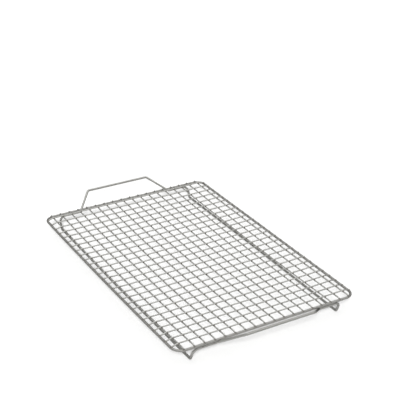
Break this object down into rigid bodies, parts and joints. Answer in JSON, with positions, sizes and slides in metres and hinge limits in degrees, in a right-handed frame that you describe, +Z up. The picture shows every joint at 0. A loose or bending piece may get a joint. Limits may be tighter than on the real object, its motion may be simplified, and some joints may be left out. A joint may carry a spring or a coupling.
{
  "type": "cooling rack",
  "caption": "Oblong welded-wire cooling rack: a square mesh on a round-cornered rim, bent base wires forming floor runners, feet and a raised loop handle at each end.",
  "frame": {"origin": "on the table, under the middle of the rack", "axes": "+X across the rack, +Y along its length towards the back handle, +Z up; symmetric about the XZ and YZ planes"},
  "size_m": [0.237, 0.4008, 0.0336],
  "materials": {
    "mesh_steel": "bright polished steel wire",
    "rim_steel": "bright polished steel wire",
    "base_steel": "bright polished steel wire"
  },
  "bodies": {
    "root": {"rim_wire": "rim_steel", "base_wire_front": "base_steel", "base_wire_back": "base_steel", "long_wire_01": "mesh_steel", "long_wire_02": "mesh_steel", "long_wire_03": "mesh_steel", "long_wire_04": "mesh_steel", "long_wire_05": "mesh_steel", "long_wire_06": "mesh_steel", "long_wire_07": "mesh_steel", "long_wire_08": "mesh_steel", "long_wire_09": "mesh_steel", "long_wire_10": "mesh_steel", "long_wire_11": "mesh_steel", "long_wire_12": "mesh_steel", "long_wire_13": "mesh_steel", "long_wire_14": "mesh_steel", "long_wire_15": "mesh_steel", "long_wire_16": "mesh_steel", "long_wire_17": "mesh_steel", "long_wire_18": "mesh_steel", "cross_wire_01": "mesh_steel", "cross_wire_02": "mesh_steel", "cross_wire_03": "mesh_steel", "cross_wire_04": "mesh_steel", "cross_wire_05": "mesh_steel", "cross_wire_06": "mesh_steel", "cross_wire_07": "mesh_steel", "cross_wire_08": "mesh_steel", "cross_wire_09": "mesh_steel", "cross_wire_10": "mesh_steel", "cross_wire_11": "mesh_steel", "cross_wire_12": "mesh_steel", "cross_wire_13": "mesh_steel", "cross_wire_14": "mesh_steel", "cross_wire_15": "mesh_steel", "cross_wire_16": "mesh_steel", "cross_wire_17": "mesh_steel", "cross_wire_18": "mesh_steel", "cross_wire_19": "mesh_steel", "cross_wire_20": "mesh_steel", "cross_wire_21": "mesh_steel", "cross_wire_22": "mesh_steel", "cross_wire_23": "mesh_steel", "cross_wire_24": "mesh_steel", "cross_wire_25": "mesh_steel", "cross_wire_26": "mesh_steel", "cross_wire_27": "mesh_steel"}
  },
  "joints": []
}
